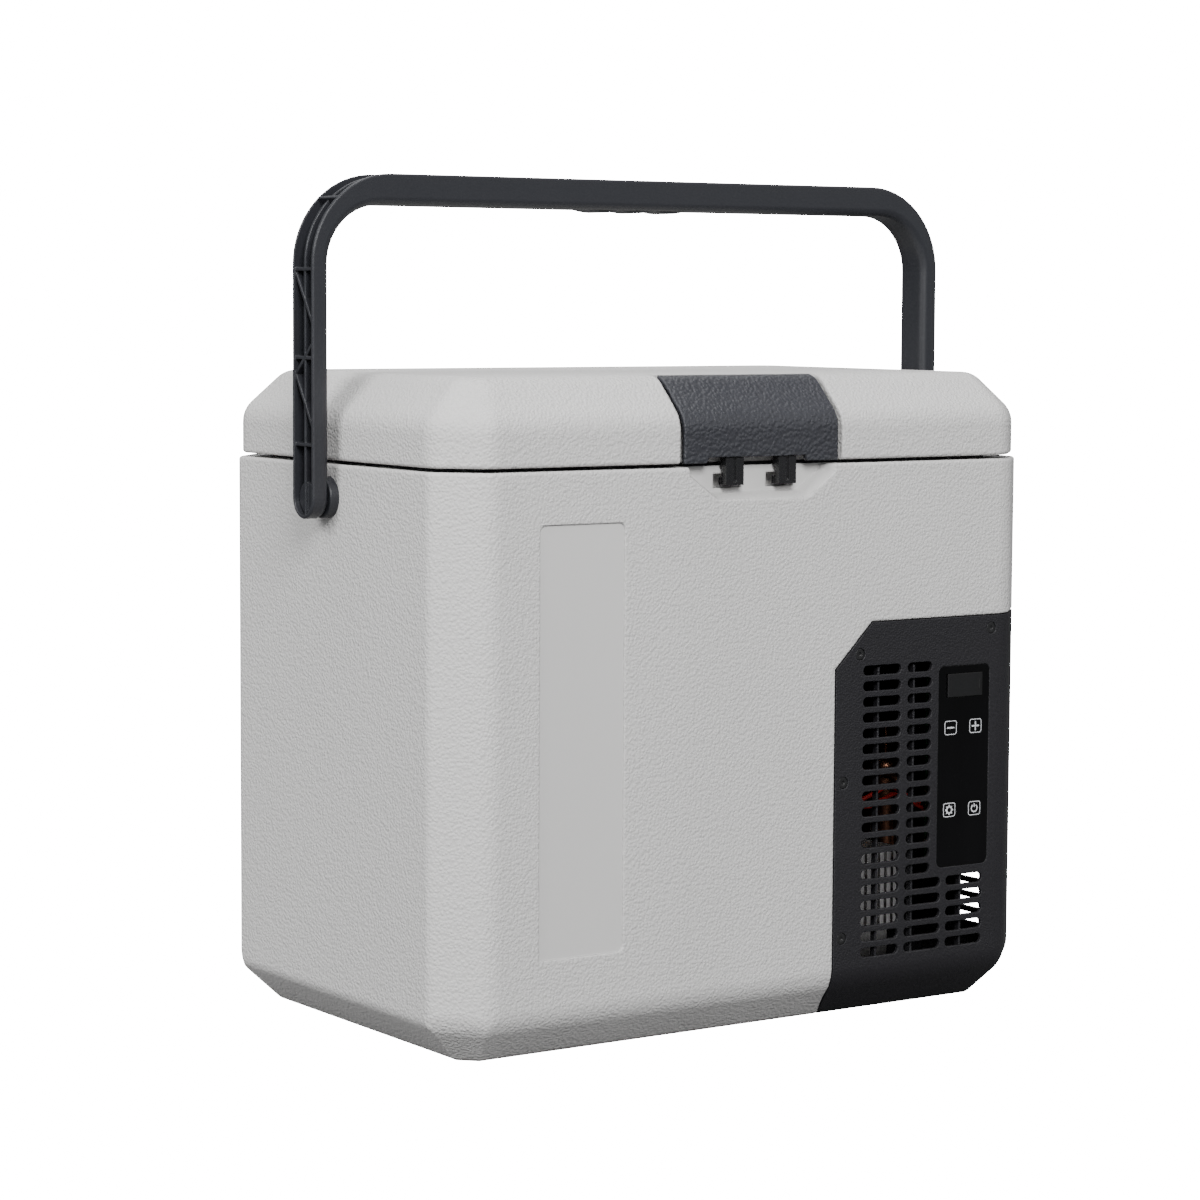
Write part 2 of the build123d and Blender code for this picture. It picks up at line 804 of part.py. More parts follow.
def handle():
    inside = handle_outline(arm_outer - arm_inner, inner_bend, bar_low)
    band = handle_outline(0, outer_bend, bar_high) - inside
    bail = extrude(Plane.XZ * band, handle_half_width, both=True)
    end = rod_x((-300, 300), 0, pivot_height, handle_half_width)
    upright = block((-300, 300), (-handle_half_width, handle_half_width), (pivot_height, 600))
    bail = bail & (end + upright)
    bail = fillet([edge for edge in bail.edges() if on_inner_rim(edge)], 4.5)
    channel = handle_outline(-20, 60, bar_high + 20) - handle_outline(7.6, 44.4, bar_high - 7.6)
    channel = extrude(Plane.XZ * channel, handle_half_width - 2, both=True)
    channel = channel - block((-170, 170), (-20, 20), (400, 600))
    channel = channel & (rod_x((-300, 300), 0, pivot_height, handle_half_width - 2) + upright)
    bail = bail - channel
    for rib in handle_ribs():
        bail = bail + (rib & (end + upright))
    for side in (-1, 1):
        bail = bail + rod_x(sorted((side * 217, side * 224)), 0, pivot_height, 9)
        bail = bail - rod_x(sorted((side * 210, side * 221.4)), 0, pivot_height, pivot_radius + running_gap)
    bail = fillet([edge for edge in bail.edges() if on_outer_rim(edge)], 1)
    return bail + grip_waves()


def grip_waves():
    """Three shallow waves under the bar, where the fingers lie."""
    radius = 46.0
    drop = 1.5
    waves = []
    for left, right in ((-38.7, -15.3), (-15.3, 8.8), (8.8, 33.2)):
        middle = (left + right) / 2
        wave = rod_y(middle, (-7.6, 7.6), bar_low - drop + radius, radius)
        wave = wave & block((left, right), (-8, 8), (bar_low - 3, bar_low + 1))
        waves.append(fillet(wave.edges().filter_by(GeomType.CIRCLE), 0.8))
    return join(waves)


def latch_pocket(grow):
    """Hollow in the lid front for the latch; grow thickens the wall round it."""
    front = block((-pocket_half - grow, pocket_half + grow), (-160, latch_axis_y + 5.6 + grow), (300, 420))
    return front - lid_form(pocket_depth + grow)


def lid_outer():
    lid = lid_form(0) - latch_pocket(0)
    hollow = lid_form(skin) - latch_pocket(skin)
    lid = lid - hollow
    for side in (-1, 1):
        ear = block(sorted((side * pocket_half, side * (pocket_half + 3.5))), (-113, -101), (372, 384))
        lid = lid + (ear & lid_form(1))
    lid = lid - rod_x((-pocket_half - 3, pocket_half + 3), latch_axis_y, latch_axis_z, 2.0)
    return fillet(around(lid, lid_low, half_width - lid_inset, half_depth - lid_inset), 2)


def lid_inner():
    plate = rim_space(skin + lid_inset + 1.6, lid_low, lid_low + 2)
    plate = plate - block((-pocket_half - 3, pocket_half + 3), (-150, -114), (300, 400))
    plug = block(
        (-store_half_width + 7, store_half_width - 7),
        (-store_half_depth + 7, store_half_depth - 7),
        (lid_low - 8, lid_low + 1),
    )
    plug = fillet(plug.edges().filter_by(Axis.Z), 12)
    hollow = block(
        (-store_half_width + 9, store_half_width - 9),
        (-store_half_depth + 9, store_half_depth - 9),
        (lid_low - 5.5, lid_low + 5),
    )
    hollow = fillet(hollow.edges().filter_by(Axis.Z), 10)
    groove = gasket_ring(0.2)
    return plate + plug - hollow - groove


def gasket_ring(grow):
    outer = RectangleRounded(2 * store_half_width + 20 + 2 * grow, 2 * store_half_depth + 11 + 2 * grow, 16)
    inner = RectangleRounded(2 * store_half_width + 6 - 2 * grow, 2 * store_half_depth + 1 - 2 * grow, 12)
    return extrude(Pos(0, 0, rim_height - 0.3) * (outer - inner), 3.0 + grow)


def lid_gasket():
    return gasket_ring(0)


def lid_foam():
    foam = lid_form(skin + 0.1) - latch_pocket(skin + 0.1)
    foam = foam - block((-300, 300), (-300, 300), (300, lid_low + 2.1))
    return foam - block((-66, 66), (-150, -97), (365, 400))


def latch_pin():
    return rod_x((-pocket_half - 2.9, pocket_half + 2.9), latch_axis_y, latch_axis_z, 1.95)


def latch_cover():
    plate = lid_form(0) - lid_form(3.2)
    plate = plate & block((-latch_half, latch_half), (-160, latch_axis_y + 3), (lid_low - 0.5, 400))
    notch = make_face(Polyline((-43, 330), (-38, 339.8), (31, 339.8), (36, 330), (-43, 330)))
    plate = plate - extrude(Pos(0, -100, 0) * (Plane.XZ * notch), 60)
    lugs = []
    for x in (-48, -16, 16, 48):
        lug = rod_x((x - 3, x + 3), latch_axis_y, latch_axis_z, 4)
        web_z = (latch_axis_z - 3, latch_axis_z + 3.5)
        web = block((x - 3, x + 3), (latch_axis_y - 9, latch_axis_y), web_z)
        lugs.append(lug + (web & lid_form(1.5)))
    cover = join([plate] + lugs)
    cover = cover - rod_x((-60, 60), latch_axis_y, latch_axis_z, 1.95 + running_gap)
    cover = cover - rod_x((-9, 9), latch_axis_y, latch_axis_z, 3.2)
    side_edges = [edge for edge in cover.edges() if abs(abs(edge.center().X) - latch_half) < 0.01]
    return fillet(side_edges, 1)


def latch_hooks():
    """Two hooks that hang from the cover into the recess, each with a barb that points inwards."""
    hooks = []
    for side in (-1, 1):
        x = (side * hook_offset - hook_width / 2, side * hook_offset + hook_width / 2)
        stem = block(x, (-129.05, -125), (334, 351))
        blade = block(x, (-131, -127), (323.6, 339.5))
        barb = block(x, (-127.5, -123.9), (323.6, 328))
        barb = barb + blade + stem
        groove = block((side * hook_offset - 1, side * hook_offset + 1), (-132, -130), (325.5, 339))
        hooks.append(barb - groove)
    return together(hooks)


def latch_spring():
    """Small torsion coil on the latch pin, between two lugs."""
    rings = []
    for number in range(16):
        ring = Pos(-4 + 0.42 * number, latch_axis_y, latch_axis_z) * Rot(0, 90, 0) * Torus(2.2, 0.22)
        rings.append(ring)
    return join(rings)


def hinge_half(first, last, low, high, face_y, thickness, drop):
    """Plate on a rear face with barrels round the hinge axis."""
    x0 = -hinge_length / 2
    plate = block((x0, -x0), (face_y, face_y + thickness), (low, high))
    barrels = []
    for start, end in zip(first, last):
        barrel = rod_x((x0 + start, x0 + end), hinge_axis_y, hinge_axis_z, hinge_radius)
        z = (hinge_axis_z - 3.4, hinge_axis_z - 0.5) if drop else (hinge_axis_z + 1.2, hinge_axis_z + 3.4)
        web = block((x0 + start, x0 + end), (face_y, hinge_axis_y), z)
        tie = block((x0 + start, x0 + end), (face_y, face_y + thickness), (min(z[0], low), max(z[1], high)))
        barrels.append(barrel + web + tie)
    half = join([plate] + barrels)
    return half - rod_x((-60, 60), hinge_axis_y, hinge_axis_z, 2.0)


def both_hinges(one):
    return together([Pos(side * hinge_offset, 0, 0) * one for side in (-1, 1)])


def hinge_body_halves():
    return both_hinges(hinge_half((0, 38), (12, 50), 306, 331, half_depth, 2, True))


def hinge_lid_halves():
    return both_hinges(hinge_half((12.4,), (37.6,), 341, 362, half_depth - lid_inset, 2, False))


def hinge_pins():
    return both_hinges(rod_x((-hinge_length / 2, hinge_length / 2), hinge_axis_y, hinge_axis_z, 1.95))


def screw_heads(height, face_y):
    heads = []
    for x in (-16, 16):
        head = rod_y(x, (face_y, face_y + 1.4), height, 3.4)
        slot = block((x - 2.6, x + 2.6), (face_y + 0.8, face_y + 2), (height - 0.4, height + 0.4))
        heads.append(head - slot)
    return together(heads)


def hinge_body_screws():
    return both_hinges(screw_heads(317, half_depth + 2))


def hinge_lid_screws():
    return both_hinges(screw_heads(352, half_depth - lid_inset + 2))


sub_parts = {
    "outer_shell": outer_shell,
    "inner_liner": inner_liner,
    "foam_insulation": foam_insulation,
    "machine_cover": machine_cover,
    "cover_screws": cover_screws,
    "screw_bosses": screw_bosses,
    "base_plate": base_plate,
    "compressor": compressor,
    "compressor_grommets": compressor_grommets,
    "compressor_bolts": compressor_bolts,
    "condenser_tube": condenser_tube,
    "condenser_fins": condenser_fins,
    "condenser_bracket": condenser_bracket,
    "fan_housing": fan_housing,
    "fan_rotor": fan_rotor,
    "discharge_line": discharge_line,
    "suction_line": suction_line,
    "filter_drier": filter_drier,
    "evaporator_tube": evaporator_tube,
    "temperature_sensor": temperature_sensor,
    "driver_board": driver_board,
    "driver_heat_sink": driver_heat_sink,
    "control_panel": control_panel,
    "panel_carrier": panel_carrier,
    "display": display,
    "control_board": control_board,
    "usb_socket": usb_socket,
    "usb_door": usb_door,
    "power_inlet": power_inlet,
    "wire_harness": wire_harness,
    "wire_connector": wire_connector,
    "feet": feet,
    "latch_keeper": latch_keeper,
    "handle": handle,
    "handle_pivots": handle_pivots,
    "pivot_screws": pivot_screws,
    "lid_outer": lid_outer,
    "lid_inner": lid_inner,
    "lid_foam": lid_foam,
    "lid_gasket": lid_gasket,
    "latch_pin": latch_pin,
    "latch_cover": latch_cover,
    "latch_hooks": latch_hooks,
    "latch_spring": latch_spring,
    "hinge_body_halves": hinge_body_halves,
    "hinge_lid_halves": hinge_lid_halves,
    "hinge_pins": hinge_pins,
    "hinge_body_screws": hinge_body_screws,
    "hinge_lid_screws": hinge_lid_screws,
}

def placed(shape):
    """The origin is the middle of the whole footprint, hinge barrels and door grip included."""
    return Compound(children=[Pos(0, frame_shift, 0) * solid for solid in shape.solids()])


os.makedirs("parts", exist_ok=True)
for node, make in sub_parts.items():
    export_step(placed(make()), f"parts/{node}.step")
for name in key_places:
    export_step(placed(key(name)), f"parts/key_{name}.step")
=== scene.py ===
import bpy
import math
from mathutils import Matrix, Vector


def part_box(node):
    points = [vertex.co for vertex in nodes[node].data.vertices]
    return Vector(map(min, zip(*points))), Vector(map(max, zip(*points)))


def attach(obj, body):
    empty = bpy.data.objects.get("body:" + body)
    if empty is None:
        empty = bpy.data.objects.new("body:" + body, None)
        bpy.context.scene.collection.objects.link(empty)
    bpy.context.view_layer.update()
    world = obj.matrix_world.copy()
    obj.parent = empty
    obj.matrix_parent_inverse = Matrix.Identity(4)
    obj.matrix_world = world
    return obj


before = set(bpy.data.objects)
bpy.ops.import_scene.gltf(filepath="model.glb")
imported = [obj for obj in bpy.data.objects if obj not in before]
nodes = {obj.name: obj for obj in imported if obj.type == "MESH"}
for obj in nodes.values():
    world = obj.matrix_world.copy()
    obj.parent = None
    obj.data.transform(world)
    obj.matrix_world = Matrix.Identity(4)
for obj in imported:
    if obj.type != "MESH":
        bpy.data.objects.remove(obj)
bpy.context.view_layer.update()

print("frame loaded:", len(nodes), "nodes")


# shared shader effects, each one a node group
def newGroup(name, inputs, outputs):
    tree = bpy.data.node_groups.new(name, "ShaderNodeTree")
    for label, kind, value in inputs:
        socket = tree.interface.new_socket(name=label, in_out="INPUT", socket_type=kind)
        if value is not None:
            socket.default_value = value
    for label, kind in outputs:
        tree.interface.new_socket(name=label, in_out="OUTPUT", socket_type=kind)
    return tree, tree.nodes.new("NodeGroupInput"), tree.nodes.new("NodeGroupOutput")


def mathNode(tree, operation, first, second=None, clamp=False):
    node = tree.nodes.new("ShaderNodeMath")
    node.operation = operation
    node.use_clamp = clamp
    for index, value in enumerate((first, second)):
        if value is None:
            continue
        if isinstance(value, (int, float)):
            node.inputs[index].default_value = value
        else:
            tree.links.new(value, node.inputs[index])
    return node.outputs[0]


def rangeNode(tree, value, fromLow, fromHigh, toLow=0.0, toHigh=1.0):
    node = tree.nodes.new("ShaderNodeMapRange")
    node.inputs["From Min"].default_value = fromLow
    node.inputs["From Max"].default_value = fromHigh
    node.inputs["To Min"].default_value = toLow
    node.inputs["To Max"].default_value = toHigh
    tree.links.new(value, node.inputs["Value"])
    return node.outputs["Result"]


def noiseNode(tree, coords, scale, detail=3.0, rough=0.5, distortion=0.0):
    node = tree.nodes.new("ShaderNodeTexNoise")
    node.inputs["Detail"].default_value = detail
    node.inputs["Roughness"].default_value = rough
    node.inputs["Distortion"].default_value = distortion
    if isinstance(scale, (int, float)):
        node.inputs["Scale"].default_value = scale
    else:
        tree.links.new(scale, node.inputs["Scale"])
    tree.links.new(coords, node.inputs["Vector"])
    return node.outputs["Fac"]


def share(tree, value, amount):
    return mathNode(tree, "MULTIPLY", value, amount)


def objectCoords(tree):
    return tree.nodes.new("ShaderNodeTexCoord").outputs["Object"]


def makeMouldGrain():
    # leather-like pebbles of a moulded skin: rounded cells, broken up by a finer noise
    tree, given, result = newGroup(
        "mouldGrain",
        [("Cells per Metre", "NodeSocketFloat", 700.0), ("Fine Share", "NodeSocketFloat", 0.3)],
        [("Height", "NodeSocketFloat"), ("Pit Mask", "NodeSocketFloat")],
    )
    coords = objectCoords(tree)
    warp = tree.nodes.new("ShaderNodeTexNoise")
    warp.inputs["Scale"].default_value = 240.0
    warp.inputs["Detail"].default_value = 2.0
    tree.links.new(coords, warp.inputs["Vector"])
    shifted = tree.nodes.new("ShaderNodeVectorMath")
    shifted.operation = "MULTIPLY_ADD"
    shifted.inputs[1].default_value = (0.0016, 0.0016, 0.0016)
    tree.links.new(warp.outputs["Color"], shifted.inputs[0])
    tree.links.new(coords, shifted.inputs[2])
    cells = tree.nodes.new("ShaderNodeTexVoronoi")
    cells.feature = "SMOOTH_F1"
    cells.inputs["Smoothness"].default_value = 0.55
    tree.links.new(shifted.outputs[0], cells.inputs["Vector"])
    tree.links.new(given.outputs["Cells per Metre"], cells.inputs["Scale"])
    pebble = rangeNode(tree, cells.outputs["Distance"], 0.15, 0.75, 1.0, 0.0)
    fineScale = mathNode(tree, "MULTIPLY", given.outputs["Cells per Metre"], 2.3)
    fine = noiseNode(tree, coords, fineScale, 2.0, 0.6)
    share = mathNode(tree, "MULTIPLY", fine, given.outputs["Fine Share"])
    height = mathNode(tree, "ADD", pebble, share)
    tree.links.new(height, result.inputs["Height"])
    tree.links.new(rangeNode(tree, pebble, 0.0, 0.35, 1.0, 0.0), result.inputs["Pit Mask"])
    return tree


def makeEdgeWear():
    # where a rounded-off normal leaves the true one, an edge is rubbed
    tree, given, result = newGroup(
        "edgeWear",
        [("Edge Radius", "NodeSocketFloat", 0.0012), ("Break Up", "NodeSocketFloat", 90.0)],
        [("Mask", "NodeSocketFloat"), ("Soft Normal", "NodeSocketVector")],
    )
    bevel = tree.nodes.new("ShaderNodeBevel")
    bevel.samples = 6
    tree.links.new(given.outputs["Edge Radius"], bevel.inputs["Radius"])
    geometry = tree.nodes.new("ShaderNodeNewGeometry")
    dot = tree.nodes.new("ShaderNodeVectorMath")
    dot.operation = "DOT_PRODUCT"
    tree.links.new(bevel.outputs["Normal"], dot.inputs[0])
    tree.links.new(geometry.outputs["Normal"], dot.inputs[1])
    edge = rangeNode(tree, dot.outputs["Value"], 0.999, 0.93, 0.0, 1.0)
    patches = noiseNode(tree, objectCoords(tree), given.outputs["Break Up"], 4.0, 0.65)
    broken = rangeNode(tree, patches, 0.42, 0.68, 0.15, 1.0)
    tree.links.new(mathNode(tree, "MULTIPLY", edge, broken, True), result.inputs["Mask"])
    tree.links.new(bevel.outputs["Normal"], result.inputs["Soft Normal"])
    return tree


def makeToneDrift():
    # slow drift of colour over a moulding, with faint flow streaks
    tree, given, result = newGroup(
        "toneDrift",
        [("Patches per Metre", "NodeSocketFloat", 9.0), ("Stretch", "NodeSocketFloat", 0.25)],
        [("Drift", "NodeSocketFloat"), ("Speckle", "NodeSocketFloat")],
    )
    coords = objectCoords(tree)
    squeeze = tree.nodes.new("ShaderNodeCombineXYZ")
    squeeze.inputs[0].default_value = 1.0
    squeeze.inputs[1].default_value = 1.0
    tree.links.new(given.outputs["Stretch"], squeeze.inputs[2])
    long = tree.nodes.new("ShaderNodeVectorMath")
    long.operation = "MULTIPLY"
    tree.links.new(coords, long.inputs[0])
    tree.links.new(squeeze.outputs[0], long.inputs[1])
    drift = noiseNode(tree, long.outputs[0], given.outputs["Patches per Metre"], 5.0, 0.55, 0.3)
    speckle = noiseNode(tree, coords, 1900.0, 1.0, 0.5)
    tree.links.new(rangeNode(tree, drift, 0.3, 0.7), result.inputs["Drift"])
    tree.links.new(rangeNode(tree, speckle, 0.35, 0.65), result.inputs["Speckle"])
    return tree


def makeDust():
    # a little dust that settles on faces that look up
    tree, given, result = newGroup(
        "dust",
        [("Amount", "NodeSocketFloat", 0.15)],
        [("Mask", "NodeSocketFloat")],
    )
    geometry = tree.nodes.new("ShaderNodeNewGeometry")
    split = tree.nodes.new("ShaderNodeSeparateXYZ")
    tree.links.new(geometry.outputs["Normal"], split.inputs[0])
    upward = rangeNode(tree, split.outputs["Z"], 0.3, 1.0)
    cloud = rangeNode(tree, noiseNode(tree, objectCoords(tree), 38.0, 6.0, 0.7), 0.4, 0.75)
    both = mathNode(tree, "MULTIPLY", upward, cloud)
    tree.links.new(mathNode(tree, "MULTIPLY", both, given.outputs["Amount"], True), result.inputs["Mask"])
    return tree


def makeZone():
    # a box on the object where the mould was polished instead of grained
    tree, given, result = newGroup(
        "polishedZone",
        [("Centre", "NodeSocketVector", (0.0, 0.0, 0.0)),
         ("Half Size", "NodeSocketVector", (0.1, 0.1, 0.1))],
        [("Mask", "NodeSocketFloat")],
    )
    offset = tree.nodes.new("ShaderNodeVectorMath")
    offset.operation = "SUBTRACT"
    tree.links.new(objectCoords(tree), offset.inputs[0])
    tree.links.new(given.outputs["Centre"], offset.inputs[1])
    far = tree.nodes.new("ShaderNodeVectorMath")
    far.operation = "ABSOLUTE"
    tree.links.new(offset.outputs[0], far.inputs[0])
    past = tree.nodes.new("ShaderNodeVectorMath")
    past.operation = "SUBTRACT"
    tree.links.new(far.outputs[0], past.inputs[0])
    tree.links.new(given.outputs["Half Size"], past.inputs[1])
    split = tree.nodes.new("ShaderNodeSeparateXYZ")
    tree.links.new(past.outputs[0], split.inputs[0])
    widest = mathNode(tree, "MAXIMUM", split.outputs["X"], split.outputs["Y"])
    widest = mathNode(tree, "MAXIMUM", widest, split.outputs["Z"])
    tree.links.new(rangeNode(tree, widest, -0.0003, 0.0003, 1.0, 0.0), result.inputs["Mask"])
    return tree


effects = {
    "zone": makeZone(),
    "grain": makeMouldGrain(),
    "wear": makeEdgeWear(),
    "drift": makeToneDrift(),
    "dust": makeDust(),
}


def useEffect(tree, effect, **values):
    node = tree.nodes.new("ShaderNodeGroup")
    node.node_tree = effects[effect]
    for label, value in values.items():
        node.inputs[label.replace("_", " ")].default_value = value
    return node


def mixColour(tree, factor, first, second):
    node = tree.nodes.new("ShaderNodeMix")
    node.data_type = "RGBA"
    tree.links.new(factor, node.inputs["Factor"])
    for socket, value in ((node.inputs[6], first), (node.inputs[7], second)):
        if hasattr(value, "is_output"):
            tree.links.new(value, socket)
        else:
            socket.default_value = (*value, 1.0)
    return node.outputs[2]


def shade(colour, factor):
    return tuple(min(1.0, part * factor) for part in colour)


def newMaterial(name):
    material = bpy.data.materials.new(name)
    material.use_nodes = True
    tree = material.node_tree
    return material, tree, tree.nodes["Principled BSDF"]


def bumpNode(tree, height, depth, normal=None):
    bump = tree.nodes.new("ShaderNodeBump")
    bump.inputs["Strength"].default_value = 1.0
    bump.inputs["Distance"].default_value = depth
    tree.links.new(height, bump.inputs["Height"])
    if normal is not None:
        tree.links.new(normal, bump.inputs["Normal"])
    return bump.outputs["Normal"]


# moulded plastics
def mouldedPlastic(name, look):
    material, tree, shader = newMaterial(name)
    grain = useEffect(tree, "grain", Cells_per_Metre=look["cells"], Fine_Share=look["fineShare"])
    height = grain.outputs["Height"]
    pits = grain.outputs["Pit Mask"]
    for centre, halfSize in look["polished"]:
        zone = useEffect(tree, "zone", Centre=centre, Half_Size=halfSize)
        kept = mathNode(tree, "SUBTRACT", 1.0, zone.outputs["Mask"])
        height = mathNode(tree, "MULTIPLY", height, kept)
        pits = share(tree, pits, kept)
    wear = useEffect(tree, "wear", Edge_Radius=look["edgeRadius"])
    drift = useEffect(tree, "drift", Patches_per_Metre=look["patches"])
    dust = useEffect(tree, "dust", Amount=look["dust"])
    tone = look["colour"]
    colour = mixColour(tree, drift.outputs["Drift"], shade(tone, 0.965), shade(tone, 1.03))
    speckled = mixColour(tree, share(tree, drift.outputs["Speckle"], 0.35), colour, shade(tone, 1.08))
    # painted shade: the valleys of the grain are painted darker, as if shadowed
    paintedPitShadow = mixColour(tree, share(tree, pits, look["pitShadowShare"]), speckled, shade(tone, 0.6))
    rubbed = mixColour(tree, share(tree, wear.outputs["Mask"], look["wear"]), paintedPitShadow, look["rubbed"])
    dusted = mixColour(tree, dust.outputs["Mask"], rubbed, (0.55, 0.53, 0.5))
    tree.links.new(dusted, shader.inputs["Base Color"])
    rough = rangeNode(tree, drift.outputs["Drift"], 0.0, 1.0, look["rough"] - 0.04, look["rough"] + 0.04)
    rough = mathNode(tree, "ADD", rough, share(tree, pits, 0.08))
    rough = mathNode(tree, "SUBTRACT", rough, share(tree, wear.outputs["Mask"], 0.1), True)
    tree.links.new(rough, shader.inputs["Roughness"])
    normal = bumpNode(tree, height, look["grainDepth"], wear.outputs["Soft Normal"])
    tree.links.new(normal, shader.inputs["Normal"])
    shader.inputs["Specular IOR Level"].default_value = look["specular"]
    shader.inputs["IOR"].default_value = 1.49
    return material


labelZone = ((-0.12435, -0.1375, 0.18355), (0.0283, 0.010, 0.1213))
latchZone = ((0.0, -0.1234, 0.3250), (0.0565, 0.0134, 0.0180))
shellLook = dict(
    colour=(0.500, 0.494, 0.486), rubbed=(0.60, 0.594, 0.584), rough=0.54, specular=0.42,
    cells=560.0, fineShare=0.35, grainDepth=0.00038, pitShadowShare=0.12,
    patches=7.0, edgeRadius=0.0016, wear=0.35, dust=0.05, polished=(labelZone, latchZone),
)
smoothShellLook = dict(
    shellLook, cells=1500.0, grainDepth=0.00001, pitShadowShare=0.0, rough=0.42, fineShare=0.6, polished=(),
)
lidLook = dict(shellLook, polished=())
linerLook = dict(
    lidLook, colour=(0.72, 0.72, 0.71), rubbed=(0.8, 0.8, 0.79), rough=0.33,
    cells=1400.0, grainDepth=0.000015, pitShadowShare=0.03,
)
coverLook = dict(
    lidLook, colour=(0.0100, 0.0096, 0.0118), rubbed=(0.05, 0.05, 0.055), rough=0.55, specular=0.32,
    cells=950.0, grainDepth=0.00022, pitShadowShare=0.35, wear=0.6, dust=0.015, edgeRadius=0.0009,
)
latchLook = dict(
    coverLook, colour=(0.0235, 0.0245, 0.0300), rubbed=(0.075, 0.078, 0.088), rough=0.48, specular=0.4,
    cells=480.0, grainDepth=0.00045, edgeRadius=0.0014,
)
handleLook = dict(
    coverLook, colour=(0.0150, 0.0158, 0.0195), rubbed=(0.06, 0.062, 0.07), rough=0.42, specular=0.4,
    cells=1500.0, grainDepth=0.00002, pitShadowShare=0.12, edgeRadius=0.0012,
)
innerLook = dict(coverLook, colour=(0.011, 0.011, 0.012), rough=0.5, cells=1300.0, grainDepth=0.00003)
hookLook = dict(
    coverLook, colour=(0.010, 0.010, 0.011), rubbed=(0.06, 0.06, 0.06), rough=0.26, specular=0.5,
    cells=1600.0, grainDepth=0.00001, pitShadowShare=0.0, wear=0.25,
)
connectorLook = dict(linerLook, colour=(0.7, 0.69, 0.64), rough=0.4)

shellPlastic = mouldedPlastic("shellPlastic", shellLook)
smoothShell = mouldedPlastic("smoothShell", smoothShellLook)
lidPlastic = mouldedPlastic("lidPlastic", lidLook)
linerPlastic = mouldedPlastic("linerPlastic", linerLook)
coverPlastic = mouldedPlastic("coverPlastic", coverLook)
latchPlastic = mouldedPlastic("latchPlastic", latchLook)
handlePlastic = mouldedPlastic("handlePlastic", handleLook)
innerPlastic = mouldedPlastic("innerPlastic", innerLook)
hookPlastic = mouldedPlastic("hookPlastic", hookLook)
connectorPlastic = mouldedPlastic("connectorPlastic", connectorLook)


def glossPanel(name, look):
    material, tree, shader = newMaterial(name)
    wear = useEffect(tree, "wear", Edge_Radius=0.0005)
    drift = useEffect(tree, "drift", Patches_per_Metre=40.0)
    dust = noiseNode(tree, objectCoords(tree), 600.0, 6.0, 0.75)
    smear = rangeNode(tree, noiseNode(tree, objectCoords(tree), 60.0, 4.0, 0.6, 1.2), 0.45, 0.75)
    colour = mixColour(tree, drift.outputs["Drift"], look["colour"], shade(look["colour"], 1.5))
    colour = mixColour(tree, share(tree, wear.outputs["Mask"], 0.4), colour, (0.05, 0.05, 0.052))
    tree.links.new(colour, shader.inputs["Base Color"])
    rough = mathNode(tree, "ADD", share(tree, smear, look["smear"]), look["rough"])
    rough = mathNode(tree, "ADD", rough, rangeNode(tree, dust, 0.62, 0.75, 0.0, 0.08), True)
    tree.links.new(rough, shader.inputs["Roughness"])
    ripple = noiseNode(tree, objectCoords(tree), 55.0, 1.0, 0.4)
    tree.links.new(bumpNode(tree, ripple, 0.00003, wear.outputs["Soft Normal"]), shader.inputs["Normal"])
    shader.inputs["Specular IOR Level"].default_value = look["specular"]
    return material


panelLook = dict(colour=(0.0016, 0.0016, 0.0018), rough=0.16, smear=0.10, specular=0.14)
displayLook = dict(colour=(0.0035, 0.0035, 0.0042), rough=0.12, smear=0.05, specular=0.16)
panelGloss = glossPanel("panelGloss", panelLook)
displayGloss = glossPanel("displayGloss", displayLook)


def softRubber(name, colour, rough):
    material, tree, shader = newMaterial(name)
    grain = useEffect(tree, "grain", Cells_per_Metre=2200.0, Fine_Share=0.8)
    drift = useEffect(tree, "drift", Patches_per_Metre=30.0)
    wear = useEffect(tree, "wear", Edge_Radius=0.0006)
    dust = useEffect(tree, "dust", Amount=0.2)
    tone = mixColour(tree, drift.outputs["Drift"], shade(colour, 0.85), shade(colour, 1.2))
    tone = mixColour(tree, share(tree, wear.outputs["Mask"], 0.5), tone, shade(colour, 2.2))
    baseColour = mixColour(tree, dust.outputs["Mask"], tone, (0.3, 0.29, 0.27))
    tree.links.new(baseColour, shader.inputs["Base Color"])
    roughness = rangeNode(tree, drift.outputs["Speckle"], 0.0, 1.0, rough - 0.05, rough + 0.08)
    tree.links.new(roughness, shader.inputs["Roughness"])
    normal = bumpNode(tree, grain.outputs["Height"], 0.00003, wear.outputs["Soft Normal"])
    tree.links.new(normal, shader.inputs["Normal"])
    shader.inputs["Specular IOR Level"].default_value = 0.22
    return material


blackRubber = softRubber("blackRubber", (0.0060, 0.0060, 0.0064), 0.6)
gasketRubber = softRubber("gasketRubber", (0.16, 0.16, 0.165), 0.6)


